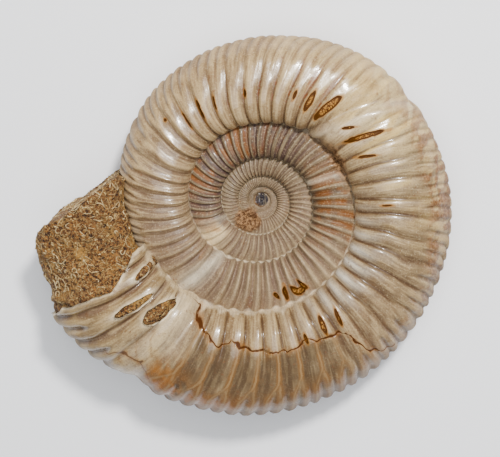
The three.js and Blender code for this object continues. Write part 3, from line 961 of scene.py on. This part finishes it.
class Nodes:
    """Short names for building a node material."""

    def __init__(self, name):
        self.material = bpy.data.materials.new(name)
        self.material.use_nodes = True
        self.tree = self.material.node_tree
        self.tree.nodes.clear()

    def outputs(self, kind, inputs=None, **settings):
        """The outputs of a new node, whose inputs are values to link or plain numbers and colours."""
        made = self.tree.nodes.new(kind)
        for key, value in settings.items():
            setattr(made, key, value)
        for key, value in (inputs or {}).items():
            if isinstance(value, Value):
                self.tree.links.new(value.socket, made.inputs[key])
            else:
                made.inputs[key].default_value = value
        return made.outputs

    def value(self, output, kind, inputs=None, **settings):
        return Value(self, self.outputs(kind, inputs, **settings)[output])

    def attribute(self, name, output="Vector"):
        return self.value(output, "ShaderNodeAttribute", attribute_name=name)

    def split(self, vector):
        return [Value(self, part) for part in self.outputs("ShaderNodeSeparateXYZ", {0: vector})]

    def math(self, operation, *values):
        return self.value(0, "ShaderNodeMath", dict(enumerate(values)), operation=operation)

    def ramp(self, value, low, high, start=0.0, end=1.0):
        inputs = {0: value, 1: low, 2: high, 3: start, 4: end}
        return self.value(0, "ShaderNodeMapRange", inputs, interpolation_type="SMOOTHSTEP")

    def mix(self, amount, a, b):
        return self.value(2, "ShaderNodeMix", {0: amount, 6: a, 7: b}, data_type="RGBA")

    def lay(self, amount, *levels):
        """Lays a paint over the colour so far."""
        self.colour = self.mix(amount, self.colour, colour4(*levels))

    def noise(self, vector, scale, detail=3.0, roughness=0.55):
        inputs = {"Vector": vector, "Scale": scale, "Detail": detail, "Roughness": roughness}
        return self.value("Fac", "ShaderNodeTexNoise", inputs)

    def vector(self, operation, a, b):
        return self.value(0, "ShaderNodeVectorMath", {0: a, 1: b}, operation=operation)

    def bump(self, strength, distance, height):
        return self.value(0, "ShaderNodeBump", {"Strength": strength, "Distance": distance, "Height": height})

    def finish(self, **inputs):
        inputs = {key.replace("_", " "): value for key, value in inputs.items()}
        self.outputs("ShaderNodeOutputMaterial", {0: self.value(0, "ShaderNodeBsdfPrincipled", inputs)})
        return self.material


def shell_material():
    n = Nodes("polished_calcite")
    place = n.value("Object", "ShaderNodeTexCoord")
    coil = n.attribute("coil")
    phase, _, matt = n.split(coil)
    clear, fork, soil = n.split(n.attribute("form"))
    spot, crack, side_crack = n.split(n.attribute("marks"))
    # Fine growth lines run along the ribs, in the coil's own coordinates.
    lines = n.noise(n.vector("MULTIPLY", coil, (7.0, 0.10, 0.0)), 1.0, 4.0, 0.6)
    fibres = n.noise(n.vector("MULTIPLY", coil, (24.0, 0.30, 0.0)), 1.0, 2.0, 0.6)
    cloud = n.noise(place, 260.0, 5.0, 0.65)
    grain = n.noise(place, 2400.0, 2.0, 0.7)
    speck = n.noise(place, 1300.0, 2.0, 0.5)
    dull = 1.0 - clear * 0.75
    streaky = (1.0 - matt * 0.75) * dull
    n.colour = n.attribute("tint", "Color")
    n.lay(n.ramp(lines, 0.46, 0.66, 0.0, 0.5) * streaky, 194, 168, 122)
    n.lay(n.ramp(lines, 0.50, 0.30, 0.0, 0.5) * streaky, 92, 64, 40)
    n.lay(n.ramp(fibres, 0.50, 0.25, 0.0, 0.3) * streaky, 100, 70, 44)
    n.lay(n.ramp(cloud, 0.55, 0.70, 0.0, 0.35), 124, 92, 54)
    n.lay(n.ramp(grain, 0.55, 0.72, 0.0, 0.34) * dull, 210, 190, 152)
    n.lay(n.ramp(grain, 0.45, 0.28, 0.0, 0.42), 78, 54, 34)
    freckle = n.ramp(speck, 0.62, 0.70) * n.ramp(cloud, 0.42, 0.60)
    n.lay(freckle * 0.6, 108, 66, 34)
    # Painted shade: the bottom of each groove is a thin dark line, and so is that between the branches of a
    # fork.
    shifted = phase + fork * 0.12
    from_groove = n.math("PINGPONG", shifted, 0.5)
    from_fork = n.math("PINGPONG", shifted - 0.5, 0.5)
    bottoms = n.math("MAXIMUM", n.ramp(from_groove, 0.11, 0.01), n.ramp(from_fork, 0.10, 0.01) * fork)
    dark = bottoms * n.attribute("dark", "Fac") * n.ramp(cloud, 0.30, 0.50, 0.55, 1.0)
    n.lay(dark, 64, 42, 26)
    # In clear calcite the ribs and their branches show as thin pale lines with soft brown sides.
    wavering = shifted + (cloud - 0.5) * 0.22
    for branch in (0.0, 0.5):
        from_rib = n.math("PINGPONG", wavering - (fork * branch + 0.27), 0.5)
        band = n.ramp(from_rib, 0.17, 0.05) * clear
        n.lay(band * n.ramp(cloud, 0.36, 0.56, 0.15, 0.75), 112, 76, 34)
        pale = n.ramp(from_rib, 0.060, 0.022) * clear
        n.lay(pale * n.ramp(cloud, 0.32, 0.52, 0.15, 0.6), 146, 118, 80)
    # Rusty dots along some grooves.
    dotted = n.ramp(from_groove, 0.12, 0.04) * n.ramp(speck, 0.46, 0.56)
    n.lay(dotted * n.attribute("dots", "Fac"), 104, 54, 22)
    # Wear spots: a dark outline round honey-brown mineral with pale grains.
    n.lay(n.ramp(spot, 0.35, 0.1, 0.0, 0.6), 140, 92, 34)
    n.lay(n.ramp(spot, 0.08, -0.02), 66, 36, 6)
    filling = n.mix(n.ramp(grain, 0.42, 0.62), colour4(70, 38, 8), colour4(164, 116, 54))
    n.colour = n.mix(n.ramp(spot, -0.28, -0.46, 0.0, 0.9), n.colour, filling)
    # Cracks: a thin dark line in a faint rusty halo.
    gap = n.ramp(n.noise(place, 420.0, 2.0), 0.25, 0.42)
    for line, strength in ((crack, 1.0), (side_crack, 0.8)):
        n.lay(n.ramp(abs(line), 0.9, 0.15, 0.0, 0.4 * strength) * gap, 136, 86, 30)
        n.lay(n.ramp(abs(line), 0.24, 0.10, 0.0, strength) * gap, 70, 38, 14)
    crumbs = n.mix(n.ramp(speck, 0.4, 0.6), colour4(72, 44, 22), colour4(148, 112, 76))
    n.colour = n.mix(soil * n.ramp(grain, 0.3, 0.55), n.colour, crumbs)
    height = lines * 0.6 + cloud * 0.5 + speck * (soil * 2.5)
    height = height - n.ramp(abs(crack), 0.3, 0.05, 0.0, 1.2) - n.ramp(spot, 0.0, -0.25) - dark * 0.8
    rough = n.ramp(cloud, 0.3, 0.7, 0.12, 0.34) + n.ramp(spot, 0.1, -0.2, 0.0, 0.2) + matt * 0.4
    # Spots, cracks and the bottoms of grooves hold no polish.
    polish = n.ramp(spot, 0.05, 0.35, 0.1, 1.0) * n.ramp(abs(crack), 0.1, 0.4, 0.1, 1.0) * (1.0 - dark * 0.6)
    shine = (0.5 - matt * 0.35) * polish
    coat = (0.38 - matt * 0.38) * polish
    return n.finish(Base_Color=n.colour, Roughness=rough, Normal=n.bump(0.6, 0.00030, height), IOR=1.5,
                    Specular_IOR_Level=shine, Coat_Weight=coat, Coat_Roughness=0.06)


def sediment_material():
    n = Nodes("shell_hash_limestone")
    place = n.value("Object", "ShaderNodeTexCoord")
    grit = n.noise(place, 1500.0, 3.0, 0.7)
    pits = n.noise(place, 900.0, 2.0, 0.6)
    cloud = n.noise(place, 160.0, 3.0, 0.6)
    n.colour = n.mix(n.ramp(grit, 0.40, 0.62), colour4(70, 38, 10), colour4(150, 98, 36))
    n.lay(n.ramp(cloud, 0.5, 0.70, 0.0, 0.5), 172, 128, 54)
    n.lay(n.ramp(n.attribute("stain", "Fac"), 0.15, -0.5, 0.0, 0.55), 84, 50, 18)
    n.lay(n.ramp(pits, 0.42, 0.32, 0.0, 0.85), 42, 22, 8)
    # Thin curls and slivers of shell: the sides of long cells, and the middle lines of three noises.
    cells = {"Vector": n.vector("MULTIPLY", place, (1.0, 2.3, 1.6)), "Scale": 750.0}
    straw = n.value("Distance", "ShaderNodeTexVoronoi", cells, feature="DISTANCE_TO_EDGE")
    curls = n.ramp(straw, 0.07, 0.02, 0.0, 0.7) * n.ramp(grit, 0.46, 0.56)
    for scale, moved, width, strength in (
        (420.0, 0.0, 0.012, 0.75), (760.0, 3.0, 0.018, 0.65), (300.0, 7.0, 0.007, 0.7),
    ):
        middle = abs(n.noise(n.vector("ADD", place, (moved, moved, moved)), scale, 1.0, 0.5) - 0.5)
        line = n.ramp(middle, width, width * 0.4, 0.0, strength) * n.ramp(pits, 0.44, 0.54)
        curls = n.math("MAXIMUM", curls, line)
    n.lay(curls, 212, 180, 116)
    pale = n.mix(n.ramp(grit, 0.3, 0.6), colour4(180, 142, 84), colour4(226, 204, 154))
    n.colour = n.mix(n.attribute("chip", "Fac"), n.colour, pale)
    height = grit + curls * 0.8 - n.ramp(pits, 0.44, 0.32, 0.0, 1.2)
    return n.finish(Base_Color=n.colour, Roughness=0.82, Normal=n.bump(1.0, 0.0006, height), IOR=1.45)


shell.data.materials.append(shell_material())
core.data.materials.append(sediment_material())
for piece, node, slot in ((shell, "fossil_shell", "shell"), (core, "sediment_core", "sediment")):
    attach(piece, "root")
    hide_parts(node)

# ---- floor, light and camera
bpy.ops.mesh.primitive_plane_add(size=3.0, location=(0, 0, -0.0002))
floor = bpy.context.object
floor.name = "floor"
floor_colour = (0.93, 0.94, 0.97, 1.0)
floor.data.materials.append(Nodes("pale_floor").finish(Base_Color=floor_colour, Roughness=0.55))


def area_light(name, size, power, location, target=(0, 0, 0.015), colour=(1, 1, 1)):
    data = bpy.data.lights.new(name, "AREA")
    data.shape = "DISK"
    data.size = size
    data.energy = power
    data.color = colour
    light = bpy.data.objects.new(name, data)
    light.location = location
    light.rotation_euler = (Vector(target) - Vector(location)).to_track_quat("-Z", "Y").to_euler()
    bpy.context.scene.collection.objects.link(light)


area_light("sparkle", 0.09, 9.0, (0.24, 0.42, 0.62), colour=(1.0, 0.98, 0.95))
area_light("key", 0.45, 2.5, (0.16, 0.46, 0.66), colour=(1.0, 0.98, 0.95))
area_light("overhead", 0.9, 6.0, (0.05, 0.05, 1.05))
world = bpy.data.worlds.new("studio")
bpy.context.scene.world = world
world.use_nodes = True
world.node_tree.nodes["Background"].inputs[0].default_value = (0.88, 0.94, 1.0, 1.0)
world.node_tree.nodes["Background"].inputs[1].default_value = 0.36

# The camera looks down on the coil from a little to the side of its axis.
CAMERA_TILT = math.radians(14.2)
CAMERA_SIDE = math.radians(65.8)  # direction from the axis that the camera leans to, from +X towards +Y
CAMERA_DISTANCE = 450.0
CAMERA_SHIFT = (-3.02, -7.71)
CAMERA_LENS = 121.5864
SENSOR_WIDTH = 36.0
tilt_axis = Vector((-math.sin(CAMERA_SIDE), math.cos(CAMERA_SIDE), 0))
tilt = Matrix.Rotation(CAMERA_TILT, 4, tilt_axis)
eye = tilt @ Vector((CAMERA_SHIFT[0], CAMERA_SHIFT[1], CAMERA_DISTANCE))
seen_from = coil_to_part @ Matrix.Translation(eye) @ tilt
seen_from.translation *= MM
camera_data = bpy.data.cameras.new("camera")
camera_data.sensor_width = SENSOR_WIDTH
camera_data.lens = CAMERA_LENS
camera = bpy.data.objects.new("camera", camera_data)
camera.matrix_world = seen_from
bpy.context.scene.collection.objects.link(camera)
bpy.context.scene.camera = camera
